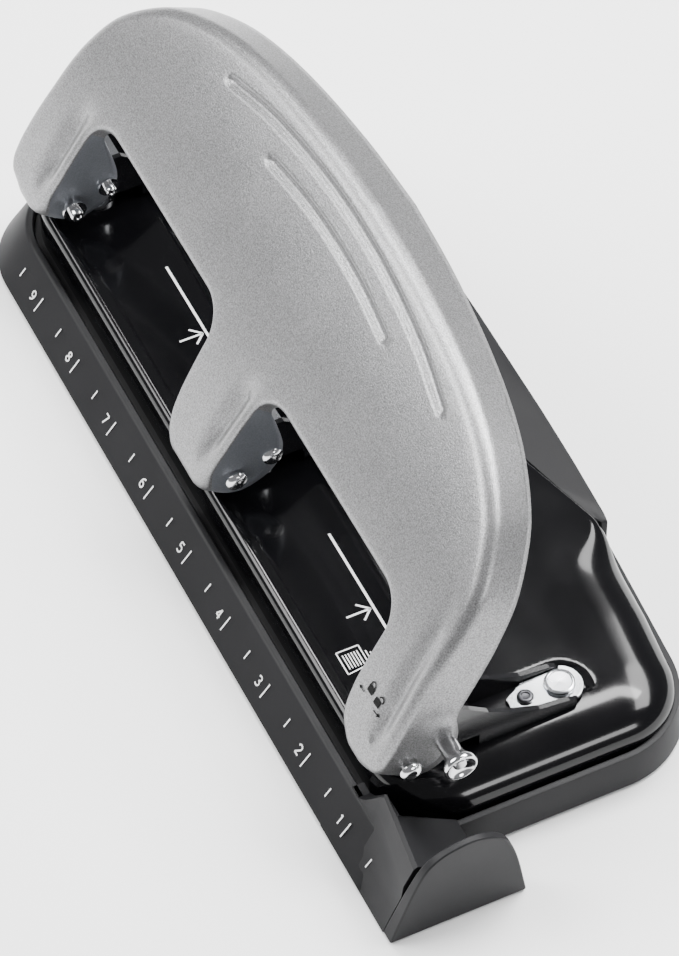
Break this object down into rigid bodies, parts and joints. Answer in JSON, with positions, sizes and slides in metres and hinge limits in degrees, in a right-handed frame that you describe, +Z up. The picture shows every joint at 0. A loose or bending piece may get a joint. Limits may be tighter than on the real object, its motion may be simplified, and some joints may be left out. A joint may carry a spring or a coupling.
{
  "type": "hole punch",
  "caption": "Desktop paper punch: a wide arched lever handle drives punches in steel brackets on a base over a chip tray, with a paper stop and a handle lock.",
  "frame": {"origin": "middle of the bounding box's bottom face, on the table under the tray", "axes": "X along the punch, towards the paper stop and lock knob; +Y from the ruler strip to the back; +Z up"},
  "size_m": [0.2794, 0.112, 0.1101],
  "materials": {
    "tray_plastic": "matte charcoal",
    "shell_plastic": "gloss black",
    "foot_rubber": "matte",
    "handle_paint": "silver metallic paint with fine sparkle",
    "bracket_steel": "zinc plated sheet",
    "bright_steel": "bright plated",
    "tool_steel": "ground",
    "spring_steel": "drawn wire",
    "dark_steel": "blackened",
    "plated_steel": "polished nickel plate"
  },
  "bodies": {
    "tray": {"chip_tray": "tray_plastic", "rubber_feet": "foot_rubber"},
    "punch_base": {"base_shell": "shell_plastic", "punch_bracket_left": "bracket_steel", "punch_bracket_middle": "bracket_steel", "punch_bracket_right": "bracket_steel", "guide_plate_left": "bright_steel", "guide_plate_middle": "bright_steel", "guide_plate_right": "bright_steel", "die_plate_left": "bright_steel", "die_plate_middle": "bright_steel", "die_plate_right": "bright_steel", "mounting_tongue_left": "bright_steel", "mounting_tongue_middle": "bright_steel", "mounting_tongue_right": "bright_steel", "return_spring_left": "spring_steel", "return_spring_middle": "spring_steel", "return_spring_right": "spring_steel", "mounting_bolts": "plated_steel", "mounting_nuts": "dark_steel", "mounting_screws": "dark_steel"},
    "handle": {"handle_shell": "handle_paint", "retaining_clips": "plated_steel", "drive_pin_left": "plated_steel", "drive_pin_middle": "plated_steel", "pivot_pin_left": "plated_steel", "pivot_pin_middle": "plated_steel", "pivot_pin_right": "plated_steel"},
    "punch_left": {"punch_pin_left": "tool_steel"},
    "punch_middle": {"punch_pin_middle": "tool_steel"},
    "punch_right": {"punch_pin_right": "tool_steel"},
    "lock": {"lock_shaft": "plated_steel", "lock_knob": "plated_steel", "lock_clip": "plated_steel"}
  },
  "joints": [
    {"name": "base_lift", "type": "slide", "parent": "tray", "child": "punch_base", "axis": [0, 0, 1], "range_m": [0, 0.04]},
    {"name": "handle_press", "type": "hinge", "parent": "punch_base", "child": "handle", "pos_m": [-0.0087, -0.03666, 0.03327], "axis": [-1, 0, 0], "range_deg": [0, 36], "stiffness_Nm_per_rad": 0.6, "springref_deg": -28.65},
    {"name": "punch_left_slide", "type": "slide", "parent": "punch_base", "child": "punch_left", "axis": [0, 0, -1], "range_m": [0, 0.00741]},
    {"name": "punch_middle_slide", "type": "slide", "parent": "punch_base", "child": "punch_middle", "axis": [0, 0, -1], "range_m": [0, 0.00741]},
    {"name": "punch_right_slide", "type": "slide", "parent": "punch_base", "child": "punch_right", "axis": [0, 0, -1], "range_m": [0, 0.00741]},
    {"name": "lock_slide", "type": "slide", "parent": "handle", "child": "lock", "axis": [-1, 0, 0], "range_m": [0, 0.0032]}
  ],
  "couplings": [
    {"joint": "punch_left_slide", "follows": "handle_press", "m_per_rad": 0.011643},
    {"joint": "punch_middle_slide", "follows": "handle_press", "m_per_rad": 0.011643},
    {"joint": "punch_right_slide", "follows": "handle_press", "m_per_rad": 0.011643}
  ]
}
